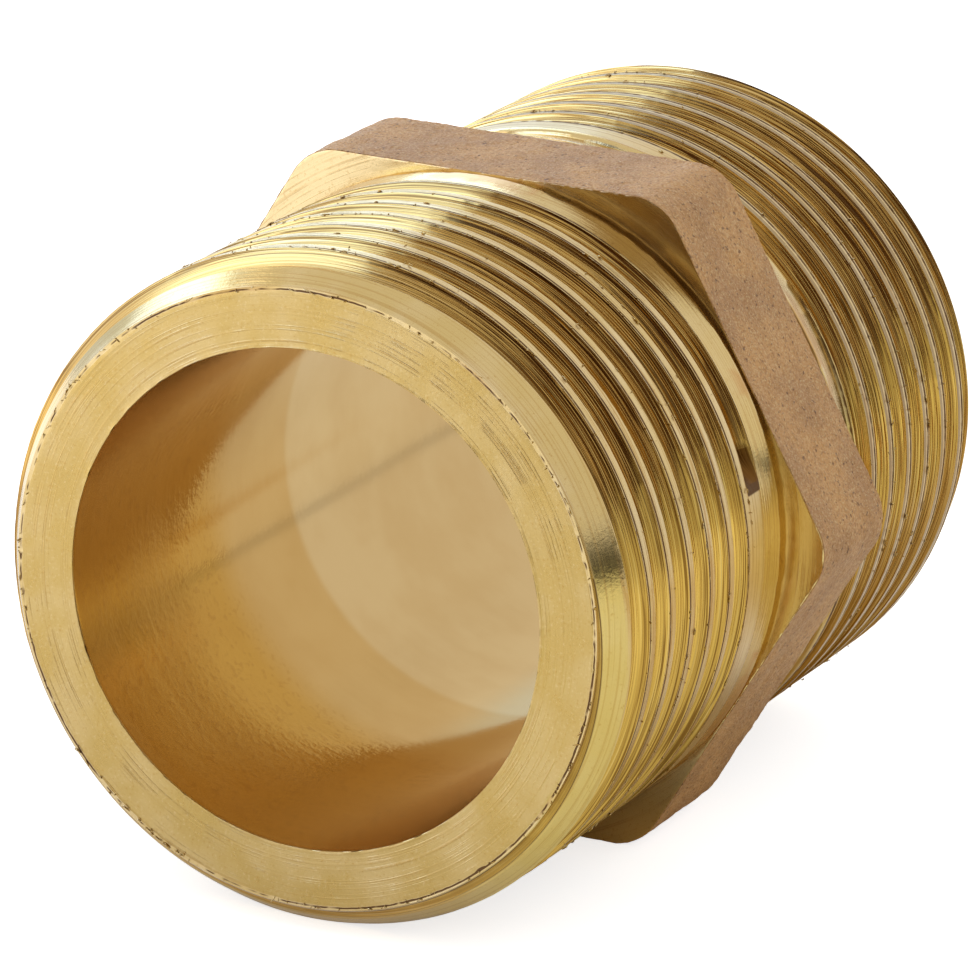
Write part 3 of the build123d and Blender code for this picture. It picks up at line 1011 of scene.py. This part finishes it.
def studio_light(scene, stage):
    """Soft light from all round and a white backdrop. Bright metal mirrors a studio instead, by
    direction: a white wall on the left (y over 0.3), in two steps of height and of distance, a
    room that darkens to brown behind the camera (x near -1), and a dark gap low on the right. A
    large lamp on the left gives the shadow."""
    world = bpy.data.worlds.new("studio")
    tree = empty_tree(world)
    ray = add(tree, "rays")
    x, y, z = add(tree, "split", add(tree, "directions"))
    room = add(tree, "ramp", add(tree, "MULTIPLY_ADD", x, 0.5, 0.5),
               stops=[(0.0, linear("#4A3020")), (0.05, linear("#5A4232")), (0.15, grey(0.42)),
                      (0.32, grey(0.88)), (0.93, grey(1.0))])
    ceiling = add(tree, "MULTIPLY", add(tree, "range", z, 0.50, 0.57), add(tree, "range", x, -0.872, -0.846))
    room = add(tree, "blend", ceiling, room, grey(0.92))
    # Colours above 1 are lamps on the wall. Brass takes out their blue and shows them yellow.
    ahead = add(tree, "blend", add(tree, "range", z, 0.24, 0.34), (1.4, 1.5, 2.0, 1.0), (2.0, 2.8, 5.0, 1.0))
    lamp_end = add(tree, "blend", add(tree, "range", x, 0.78, 0.85), (2.6, 3.5, 5.0, 1.0), grey(0.95))
    behind = add(tree, "blend", add(tree, "range", z, 0.31, 0.41), (0.9, 1.02, 1.2, 1.0), lamp_end)
    wall = add(tree, "blend", add(tree, "range", x, -0.1, 0.3), ahead, behind)
    wall = add(tree, "blend", add(tree, "range", z, 0.60, 0.70), wall, grey(0.95))
    room = add(tree, "blend", add(tree, "range", y, 0.29, 0.34), room, wall)
    height = add(tree, "range", x, -0.15, 0.86, 0.20, 0.045)
    low = add(tree, "range", add(tree, "DIVIDE", z, height), 0.85, 1.0)
    right = add(tree, "MULTIPLY", add(tree, "range", y, -0.40, -0.48), add(tree, "range", x, -0.5, -0.2))
    gap = add(tree, "MULTIPLY", add(tree, "SUBTRACT", 1.0, low), right)
    dark = add(tree, "blend", add(tree, "range", x, 0.70, 0.85), grey(0.06), grey(0.8))
    room = add(tree, "blend", gap, room, dark)
    plain = add(tree, "blend", add(tree, "range", y, 0.3, -0.6), grey(stage.room_level),
                grey(1.14 * stage.room_level))
    backdrop = add(tree, "MAXIMUM", ray["Is Camera Ray"], ray["Is Transmission Ray"])
    colour = add(tree, "blend", ray["Is Glossy Ray"], plain, room)
    colour = add(tree, "blend", backdrop, colour, grey(1.0))
    add(tree, "sky", add(tree, "light", colour))
    scene.world = world

    lamp = bpy.data.lights.new("key", "AREA")
    lamp.shape = "RECTANGLE"
    lamp.size = 0.5
    lamp.size_y = 0.4
    lamp.energy = stage.key_power
    key = bpy.data.objects.new("key", lamp)
    place = np.array([-0.22, 0.45, 0.40])
    key.matrix_world = Matrix.Translation(place) @ Matrix(look_along(-place)).to_4x4()
    scene.collection.objects.link(key)


def look_along(direction):
    """The rotation, as rows, that turns the local -z axis along direction and keeps x level."""
    back = -direction / np.linalg.norm(direction)
    right = np.cross([0, 0, 1], back)
    right /= np.linalg.norm(right)
    up = np.cross(back, right)
    return np.stack([right, up, back], 1).tolist()


def camera(scene, stage):
    """A long lens in front of the near end, 17.6 degrees above the table, rolled by 1.7 degrees."""
    data = bpy.data.cameras.new("camera")
    data.sensor_fit = "HORIZONTAL"
    data.sensor_width = 36.0
    data.lens = stage.lens
    data.clip_start = 0.01
    data.clip_end = 20.0
    eye = bpy.data.objects.new("camera", data)
    turn = Matrix(((0.432824, 0.260228, -0.863102),
                   (-0.901024, 0.155277, -0.405025),
                   (0.028621, 0.952980, 0.301679)))
    eye.matrix_world = Matrix.Translation((-0.25717, -0.11976, 0.08946)) @ turn.to_4x4()
    scene.collection.objects.link(eye)
    scene.camera = eye


class NIPPLE_PT_panel(bpy.types.Panel):
    """Sizes, colours and buttons of the nipple"""
    bl_label = "Brass hex nipple"
    bl_idname = "NIPPLE_PT_panel"
    bl_space_type = "VIEW_3D"
    bl_region_type = "UI"
    bl_category = "Nipple"

    def draw(self, context):
        for title, kind in SETTINGS.items():
            box = self.layout.box()
            for name in kind.__annotations__:
                box.prop(getattr(context.scene, title), name)
        for operator in OPERATORS:
            self.layout.operator(operator.bl_idname)


SETTINGS = {"nipple_sizes": NippleSizes, "nipple_finish": NippleFinish, "nipple_stage": NippleStage}
OPERATORS = (NIPPLE_OT_threaded_ends, NIPPLE_OT_wrench_section, NIPPLE_OT_burrs, NIPPLE_OT_stage)
CLASSES = (*SETTINGS.values(), *OPERATORS, NIPPLE_PT_panel)


def register():
    for each in CLASSES:
        bpy.utils.register_class(each)
    for title, kind in SETTINGS.items():
        setattr(bpy.types.Scene, title, PointerProperty(type=kind))


def unregister():
    for title in SETTINGS:
        delattr(bpy.types.Scene, title)
    for each in reversed(CLASSES):
        bpy.utils.unregister_class(each)


def main():
    """Builds every piece and the stage."""
    register()
    bpy.ops.nipple.threaded_ends()
    bpy.ops.nipple.wrench_section()
    bpy.ops.nipple.burrs()
    bpy.ops.nipple.stage()


if __name__ == "__main__":
    main()
